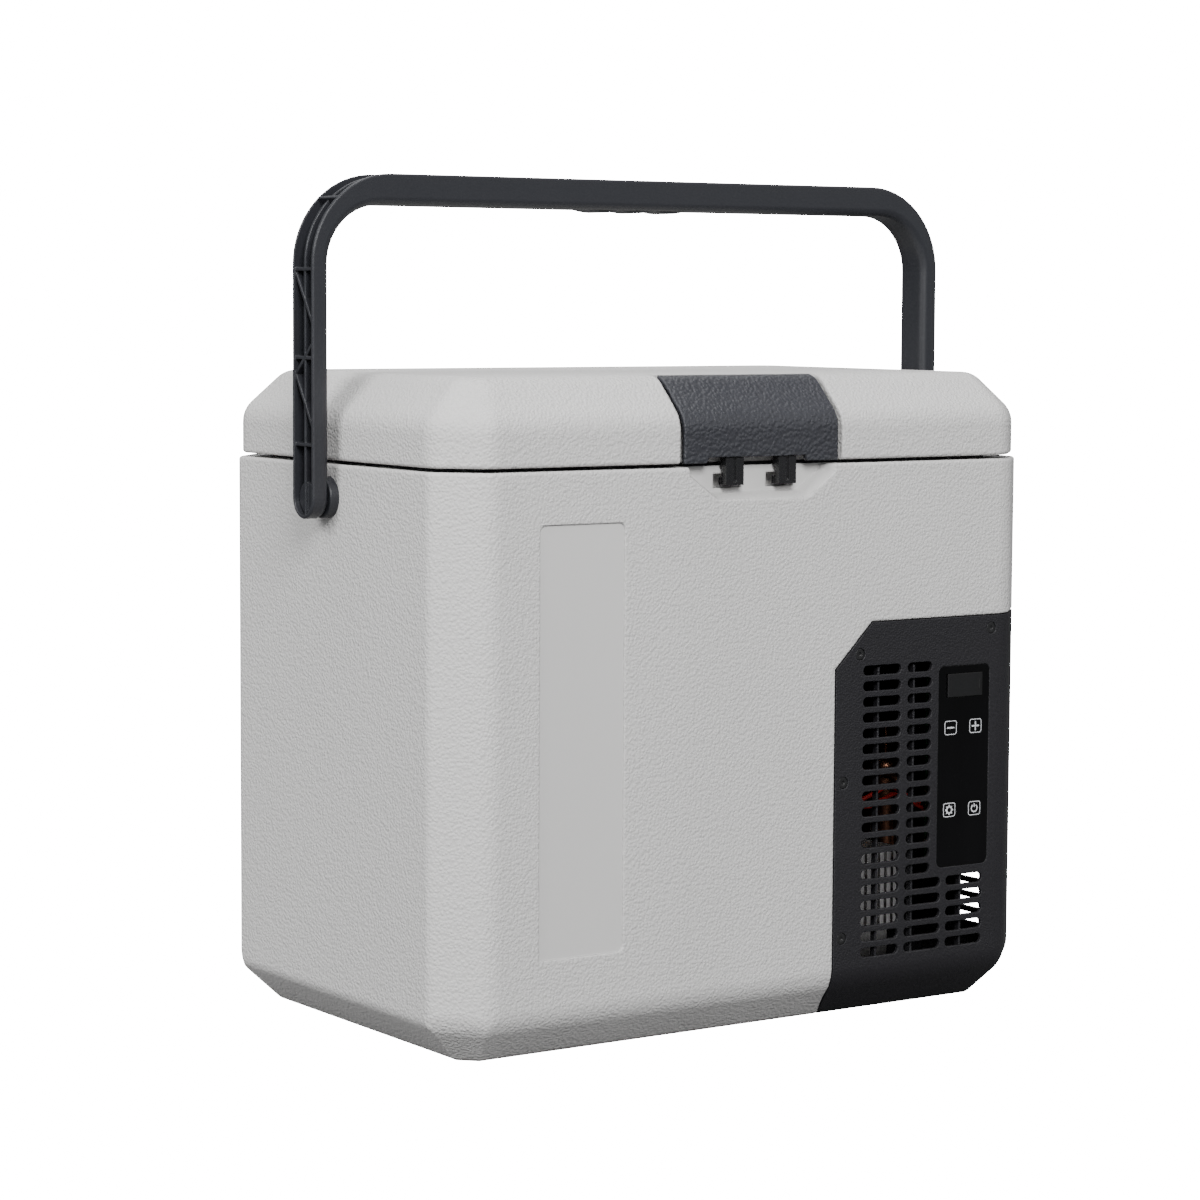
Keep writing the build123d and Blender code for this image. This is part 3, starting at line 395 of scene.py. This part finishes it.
# metals
def bareMetal(name, look):
    material, tree, shader = newMaterial(name)
    coords = objectCoords(tree)
    stretch = tree.nodes.new("ShaderNodeMapping")
    stretch.inputs["Scale"].default_value = look["stretch"]
    tree.links.new(coords, stretch.inputs["Vector"])
    brushed = noiseNode(tree, stretch.outputs["Vector"], look["lines"], 4.0, 0.6)
    cloud = noiseNode(tree, coords, 45.0, 5.0, 0.6)
    wear = useEffect(tree, "wear", Edge_Radius=0.0005)
    stain = rangeNode(tree, cloud, 0.5, 0.72)
    colour = mixColour(tree, rangeNode(tree, brushed, 0.3, 0.7), shade(look["colour"], 0.88), look["colour"])
    colour = mixColour(tree, share(tree, stain, look["stain"]), colour, look["stainColour"])
    colour = mixColour(tree, share(tree, wear.outputs["Mask"], 0.6), colour, shade(look["colour"], 1.25))
    tree.links.new(colour, shader.inputs["Base Color"])
    roughness = rangeNode(tree, brushed, 0.3, 0.7, look["rough"] - 0.07, look["rough"] + 0.09)
    tree.links.new(roughness, shader.inputs["Roughness"])
    tree.links.new(bumpNode(tree, brushed, 0.00002, wear.outputs["Soft Normal"]), shader.inputs["Normal"])
    shader.inputs["Metallic"].default_value = 1.0
    return material


zincLook = dict(
    colour=(0.55, 0.55, 0.54), stainColour=(0.35, 0.34, 0.3), stain=0.4,
    rough=0.36, lines=300.0, stretch=(1.0, 6.0, 6.0),
)
finLook = dict(
    colour=(0.86, 0.86, 0.85), stainColour=(0.5, 0.49, 0.46), stain=0.3,
    rough=0.4, lines=500.0, stretch=(1.0, 1.0, 8.0),
)
copperLook = dict(
    colour=(0.30, 0.14, 0.085), stainColour=(0.10, 0.055, 0.04), stain=0.75,
    rough=0.32, lines=260.0, stretch=(5.0, 1.0, 5.0),
)
zincSteel = bareMetal("zincSteel", zincLook)
finAluminium = bareMetal("finAluminium", finLook)
pipeCopper = bareMetal("pipeCopper", copperLook)


def paintedSteel(name, colour, rough):
    material, tree, shader = newMaterial(name)
    drift = useEffect(tree, "drift", Patches_per_Metre=25.0)
    wear = useEffect(tree, "wear", Edge_Radius=0.0009)
    peel = noiseNode(tree, objectCoords(tree), 900.0, 2.0, 0.5)
    tone = mixColour(tree, drift.outputs["Drift"], shade(colour, 0.8), shade(colour, 1.3))
    tone = mixColour(tree, share(tree, wear.outputs["Mask"], 0.5), tone, shade(colour, 7.0))
    tree.links.new(tone, shader.inputs["Base Color"])
    roughness = rangeNode(tree, peel, 0.3, 0.7, rough - 0.05, rough + 0.06)
    tree.links.new(roughness, shader.inputs["Roughness"])
    tree.links.new(bumpNode(tree, peel, 0.00003, wear.outputs["Soft Normal"]), shader.inputs["Normal"])
    tree.links.new(share(tree, wear.outputs["Mask"], 0.6), shader.inputs["Metallic"])
    return material


blackPaint = paintedSteel("blackPaint", (0.013, 0.013, 0.014), 0.34)
screwBlack = paintedSteel("screwBlack", (0.0075, 0.0075, 0.008), 0.42)


# foam, circuit board, wire and print
def rigidFoam():
    material, tree, shader = newMaterial("rigidFoam")
    cells = tree.nodes.new("ShaderNodeTexVoronoi")
    cells.inputs["Scale"].default_value = 900.0
    tree.links.new(objectCoords(tree), cells.inputs["Vector"])
    drift = useEffect(tree, "drift", Patches_per_Metre=14.0)
    tone = mixColour(tree, drift.outputs["Drift"], (0.62, 0.5, 0.27), (0.76, 0.66, 0.42))
    # painted shade: the hollow of each foam cell is painted darker
    baseColour = mixColour(tree, cells.outputs["Distance"], (0.42, 0.32, 0.15), tone)
    tree.links.new(baseColour, shader.inputs["Base Color"])
    roughness = rangeNode(tree, drift.outputs["Speckle"], 0.0, 1.0, 0.8, 0.95)
    tree.links.new(roughness, shader.inputs["Roughness"])
    tree.links.new(bumpNode(tree, cells.outputs["Distance"], 0.0004), shader.inputs["Normal"])
    return material


def circuitBoard():
    material, tree, shader = newMaterial("circuitBoard")
    coords = objectCoords(tree)
    tracks = tree.nodes.new("ShaderNodeTexBrick")
    tracks.inputs["Scale"].default_value = 180.0
    tracks.inputs["Mortar Size"].default_value = 0.03
    tracks.inputs["Color1"].default_value = (0.003, 0.024, 0.009, 1)
    tracks.inputs["Color2"].default_value = (0.004, 0.032, 0.012, 1)
    tracks.inputs["Mortar"].default_value = (0.009, 0.055, 0.020, 1)
    turned = tree.nodes.new("ShaderNodeMapping")
    turned.inputs["Rotation"].default_value = (math.pi / 2, 0, 0)
    tree.links.new(coords, turned.inputs["Vector"])
    tree.links.new(turned.outputs["Vector"], tracks.inputs["Vector"])
    drift = useEffect(tree, "drift", Patches_per_Metre=60.0)
    darker = share(tree, drift.outputs["Drift"], 0.3)
    baseColour = mixColour(tree, darker, tracks.outputs["Color"], (0.002, 0.012, 0.005))
    tree.links.new(baseColour, shader.inputs["Base Color"])
    roughness = rangeNode(tree, drift.outputs["Speckle"], 0.0, 1.0, 0.28, 0.42)
    tree.links.new(roughness, shader.inputs["Roughness"])
    tree.links.new(bumpNode(tree, tracks.outputs["Fac"], 0.00004), shader.inputs["Normal"])
    return material


def wireSkin():
    material, tree, shader = newMaterial("wireSkin")
    drift = useEffect(tree, "drift", Patches_per_Metre=120.0)
    baseColour = mixColour(tree, drift.outputs["Drift"], (0.14, 0.006, 0.006), (0.22, 0.010, 0.008))
    tree.links.new(baseColour, shader.inputs["Base Color"])
    roughness = rangeNode(tree, drift.outputs["Speckle"], 0.0, 1.0, 0.3, 0.42)
    tree.links.new(roughness, shader.inputs["Roughness"])
    tree.links.new(bumpNode(tree, drift.outputs["Speckle"], 0.00002), shader.inputs["Normal"])
    return material


def printInk():
    # screen-printed symbols: thin, slightly uneven, a little matt
    material, tree, shader = newMaterial("printInk")
    drift = useEffect(tree, "drift", Patches_per_Metre=300.0)
    baseColour = mixColour(tree, drift.outputs["Drift"], (0.5, 0.51, 0.53), (0.68, 0.69, 0.71))
    tree.links.new(baseColour, shader.inputs["Base Color"])
    roughness = rangeNode(tree, drift.outputs["Speckle"], 0.0, 1.0, 0.45, 0.6)
    tree.links.new(roughness, shader.inputs["Roughness"])
    tree.links.new(bumpNode(tree, drift.outputs["Speckle"], 0.00001), shader.inputs["Normal"])
    return material


foamMaterial = rigidFoam()
boardMaterial = circuitBoard()
wireMaterial = wireSkin()
inkMaterial = printInk()

finishes = {
    shellPlastic: ["outer_shell"],
    lidPlastic: ["lid_outer"],
    smoothShell: ["latch_keeper"],
    linerPlastic: ["inner_liner", "lid_inner"],
    foamMaterial: ["foam_insulation", "lid_foam"],
    coverPlastic: ["machine_cover", "screw_bosses", "hinge_body_halves", "hinge_lid_halves"],
    innerPlastic: ["panel_carrier", "power_inlet", "fan_housing", "fan_rotor"],
    latchPlastic: ["latch_cover"],
    hookPlastic: ["latch_hooks"],
    handlePlastic: ["handle", "handle_pivots"],
    panelGloss: ["control_panel", "key_minus", "key_plus", "key_settings", "key_power"],
    displayGloss: ["display"],
    blackRubber: ["usb_door", "feet", "compressor_grommets"],
    gasketRubber: ["lid_gasket"],
    zincSteel: ["base_plate", "condenser_bracket", "compressor_bolts", "pivot_screws", "latch_pin",
                "latch_spring", "hinge_pins", "usb_socket"],
    finAluminium: ["condenser_fins", "evaporator_tube", "driver_heat_sink"],
    pipeCopper: ["condenser_tube", "discharge_line", "suction_line", "filter_drier"],
    blackPaint: ["compressor"],
    screwBlack: ["cover_screws", "hinge_body_screws", "hinge_lid_screws"],
    boardMaterial: ["driver_board", "control_board"],
    wireMaterial: ["wire_harness"],
    connectorPlastic: ["wire_connector", "temperature_sensor"],
}
for material, names in finishes.items():
    for name in names:
        for materialSlot in nodes[name].material_slots:
            materialSlot.material = material
print("materials placed:", len(finishes))


# helpers for new pieces
def deselectAll():
    if bpy.context.object and bpy.context.object.mode != "OBJECT":
        bpy.ops.object.mode_set(mode="OBJECT")
    bpy.ops.object.select_all(action="DESELECT")


def finishPiece(piece, name, body, material):
    deselectAll()
    piece.name = name
    piece.select_set(True)
    bpy.context.view_layer.objects.active = piece
    bpy.ops.object.transform_apply(location=True, rotation=True, scale=True)
    for modifier in list(piece.modifiers):
        bpy.ops.object.modifier_apply(modifier=modifier.name)
    piece.data.materials.clear()
    piece.data.materials.append(material)
    bpy.ops.object.shade_smooth_by_angle(angle=math.radians(35))
    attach(piece, body)
    piece.select_set(False)
    return piece


# printed signs on the four keys

markSettings = dict(
    lift=0.00008, line=0.00045, corner=0.0016, keyWidth=0.0094, keyHeight=0.0085,
    barWidth=0.0058, barThickness=0.0009, armLength=0.00245, armOffset=0.0017,
)
gearSettings = dict(teeth=8, toothWidth=0.0010, toothHeight=0.0009, reach=0.0026, radius=0.0023, line=0.0008)
powerSettings = dict(
    radius=0.0026, line=0.00075, gapShare=0.42, stemWidth=0.0007, stemHeight=0.0022, stemOffset=0.0018,
)


def frontPlane(x, z, width, height, front, name):
    # a flat print whose face looks out of the front
    deselectAll()
    bpy.ops.mesh.primitive_plane_add(size=1, location=(x, front, z), rotation=(math.pi / 2, 0, 0))
    mark = bpy.context.object
    mark.name = name
    mark.scale = (width, height, 1)
    bpy.ops.object.transform_apply(location=False, rotation=True, scale=True)
    return mark


def thickenMark(mark):
    bpy.ops.object.mode_set(mode="EDIT")
    bpy.ops.mesh.select_all(action="SELECT")
    bpy.ops.mesh.extrude_region_move(TRANSFORM_OT_translate={"value": (0, -markSettings["lift"], 0)})
    bpy.ops.mesh.select_all(action="SELECT")
    bpy.ops.mesh.remove_doubles(threshold=0.000001)
    bpy.ops.mesh.normals_make_consistent(inside=False)
    bpy.ops.object.mode_set(mode="OBJECT")


def outlineMark(x, z, width, height, corner, line, front, name):
    mark = frontPlane(x, z, width, height, front, name)
    bpy.ops.object.mode_set(mode="EDIT")
    bpy.ops.mesh.select_all(action="SELECT")
    bpy.ops.mesh.bevel(offset=corner, segments=5, affect="VERTICES")
    bpy.ops.mesh.select_all(action="SELECT")
    bpy.ops.mesh.inset(thickness=line, use_even_offset=True)
    bpy.ops.mesh.delete(type="FACE")
    bpy.ops.object.mode_set(mode="OBJECT")
    thickenMark(mark)
    return mark


def barMark(x, z, width, height, front, name):
    mark = frontPlane(x, z, width, height, front, name)
    bpy.ops.object.mode_set(mode="EDIT")
    bpy.ops.mesh.select_all(action="SELECT")
    bpy.ops.mesh.bevel(offset=min(width, height) * 0.4, segments=3, affect="VERTICES")
    bpy.ops.object.mode_set(mode="OBJECT")
    thickenMark(mark)
    return mark


def ringMark(x, z, radius, line, front, name, openTop=False):
    deselectAll()
    bpy.ops.mesh.primitive_circle_add(vertices=32, radius=radius, fill_type="NGON", location=(x, front, z),
                                      rotation=(math.pi / 2, 0, 0))
    mark = bpy.context.object
    mark.name = name
    bpy.ops.object.transform_apply(location=False, rotation=True, scale=True)
    bpy.ops.object.mode_set(mode="EDIT")
    bpy.ops.mesh.select_all(action="SELECT")
    bpy.ops.mesh.inset(thickness=line, use_even_offset=True)
    bpy.ops.mesh.delete(type="FACE")
    bpy.ops.object.mode_set(mode="OBJECT")
    if openTop:
        for face in mark.data.polygons:
            centre = face.center
            face.select = centre.z > 0 and abs(centre.x) < radius * powerSettings["gapShare"]
        bpy.ops.object.mode_set(mode="EDIT")
        bpy.ops.mesh.delete(type="FACE")
        bpy.ops.object.mode_set(mode="OBJECT")
    thickenMark(mark)
    return mark


def joinMarks(marks):
    deselectAll()
    for mark in marks:
        mark.select_set(True)
    bpy.context.view_layer.objects.active = marks[0]
    if len(marks) > 1:
        bpy.ops.object.join()
    return bpy.context.view_layer.objects.active


def gearMarks(x, z, front, name):
    gear = gearSettings
    marks = []
    for step in range(gear["teeth"]):
        angle = step * 2 * math.pi / gear["teeth"]
        tooth = barMark(0, 0, gear["toothWidth"], gear["toothHeight"], 0, name + str(step))
        tooth.rotation_euler = (0, angle, 0)
        tooth.location = (x + gear["reach"] * math.sin(angle), front, z + gear["reach"] * math.cos(angle))
        deselectAll()
        tooth.select_set(True)
        bpy.context.view_layer.objects.active = tooth
        bpy.ops.object.transform_apply(location=True, rotation=True, scale=True)
        marks.append(tooth)
    return marks + [ringMark(x, z, gear["radius"], gear["line"], front, name + "Ring")]


def powerMarks(x, z, front):
    sign = powerSettings
    ring = ringMark(x, z, sign["radius"], sign["line"], front, "ringpower", True)
    stem = barMark(x, z + sign["stemOffset"], sign["stemWidth"], sign["stemHeight"], front, "stempower")
    return [ring, stem]


def makeKeyMarks():
    signs = markSettings
    thick, arm, offset = signs["barThickness"], signs["armLength"], signs["armOffset"]
    for key in ("minus", "plus", "settings", "power"):
        low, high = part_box("key_" + key)
        x, z, front = (low[0] + high[0]) / 2, (low[2] + high[2]) / 2, low[1]
        frameMark = outlineMark(x, z, signs["keyWidth"], signs["keyHeight"], signs["corner"], signs["line"],
                                front, "frame" + key)
        parts = [frameMark]
        if key in ("minus", "plus"):
            parts.append(barMark(x, z, signs["barWidth"], thick, front, "bar" + key))
        if key == "plus":
            parts.append(barMark(x, z + offset, thick, arm, front, "upper" + key))
            parts.append(barMark(x, z - offset, thick, arm, front, "lower" + key))
        if key == "settings":
            parts += gearMarks(x, z, front, "gear")
        if key == "power":
            parts += powerMarks(x, z, front)
        finishPiece(joinMarks(parts), "mark_" + key, "key_" + key, inkMaterial)


# floor, lights and camera
floorSettings = dict(size=24.0, colour=(0.12, 0.12, 0.122), rough=0.8, glow=20.0)


def makeFloor():
    # the glow is seen by the camera only, so the floor stays pale without lighting the base from below
    deselectAll()
    bpy.ops.mesh.primitive_plane_add(size=floorSettings["size"], location=(0, 0, 0))
    floor = bpy.context.object
    floor.name = "floor"
    material, tree, shader = newMaterial("paleFloor")
    drift = useEffect(tree, "drift", Patches_per_Metre=2.0)
    pale = floorSettings["colour"]
    tone = mixColour(tree, drift.outputs["Drift"], shade(pale, 0.99), pale)
    tree.links.new(tone, shader.inputs["Base Color"])
    shader.inputs["Roughness"].default_value = floorSettings["rough"]
    path = tree.nodes.new("ShaderNodeLightPath")
    glow = mathNode(tree, "MULTIPLY", path.outputs["Is Camera Ray"], floorSettings["glow"])
    shader.inputs["Emission Color"].default_value = (1, 1, 1, 1)
    tree.links.new(glow, shader.inputs["Emission Strength"])
    floor.data.materials.append(material)


lightSettings = {
    "key": dict(place=(-1.3, -2.9, 2.1), aim=(0, 0, 0.25), size=1.3, power=184),
    "left": dict(place=(-2.7, -0.3, 1.6), aim=(0, 0, 0.25), size=1.3, power=76),
    "right": dict(place=(2.4, -1.8, 1.6), aim=(0, 0, 0.25), size=1.2, power=18),
    "top": dict(place=(0.1, 0.4, 2.8), aim=(0, 0, 0.2), size=1.8, power=50),
    "back": dict(place=(1.4, 2.4, 1.9), aim=(0, 0, 0.2), size=2.2, power=16),
}
worldSettings = dict(fill=(0.95, 0.97, 1.0), fillStrength=0.30, seen=(1.0, 1.0, 1.0), seenStrength=20.0)


def makeLights():
    for name, light in lightSettings.items():
        data = bpy.data.lights.new(name + "Light", "AREA")
        data.size = light["size"]
        data.energy = light["power"]
        lamp = bpy.data.objects.new(name + "Light", data)
        lamp.location = light["place"]
        direction = Vector(light["aim"]) - Vector(light["place"])
        lamp.rotation_euler = direction.to_track_quat("-Z", "Y").to_euler()
        bpy.context.scene.collection.objects.link(lamp)


def makeWorld():
    # dim fill for the object, bright backdrop for the camera
    world = bpy.data.worlds.new("studio")
    world.use_nodes = True
    tree = world.node_tree
    fill = tree.nodes["Background"]
    fill.inputs["Color"].default_value = (*worldSettings["fill"], 1)
    fill.inputs["Strength"].default_value = worldSettings["fillStrength"]
    seen = tree.nodes.new("ShaderNodeBackground")
    seen.inputs["Color"].default_value = (*worldSettings["seen"], 1)
    seen.inputs["Strength"].default_value = worldSettings["seenStrength"]
    choose = tree.nodes.new("ShaderNodeMixShader")
    path = tree.nodes.new("ShaderNodeLightPath")
    tree.links.new(path.outputs["Is Camera Ray"], choose.inputs[0])
    tree.links.new(fill.outputs[0], choose.inputs[1])
    tree.links.new(seen.outputs[0], choose.inputs[2])
    tree.links.new(choose.outputs[0], tree.nodes["World Output"].inputs["Surface"])
    bpy.context.scene.world = world


cameraSettings = dict(
    place=(-1.1688, -1.69305, 0.4305), azimuth=-34.165, pitch=5.114, roll=0.303, lens=101.82,
)


def makeCamera():
    data = bpy.data.cameras.new("studioCamera")
    data.lens = cameraSettings["lens"]
    data.sensor_width = 36.0
    data.clip_end = 50.0
    camera = bpy.data.objects.new("studioCamera", data)
    turn = Matrix.Rotation(math.radians(cameraSettings["azimuth"]), 4, "Z")
    tilt = Matrix.Rotation(math.radians(90 - cameraSettings["pitch"]), 4, "X")
    roll = Matrix.Rotation(math.radians(cameraSettings["roll"]), 4, "Z")
    camera.matrix_world = Matrix.Translation(cameraSettings["place"]) @ turn @ tilt @ roll
    bpy.context.scene.collection.objects.link(camera)
    bpy.context.scene.camera = camera


makeKeyMarks()
print("key marks ready")
makeFloor()
makeLights()
makeWorld()
makeCamera()
print("stage ready")
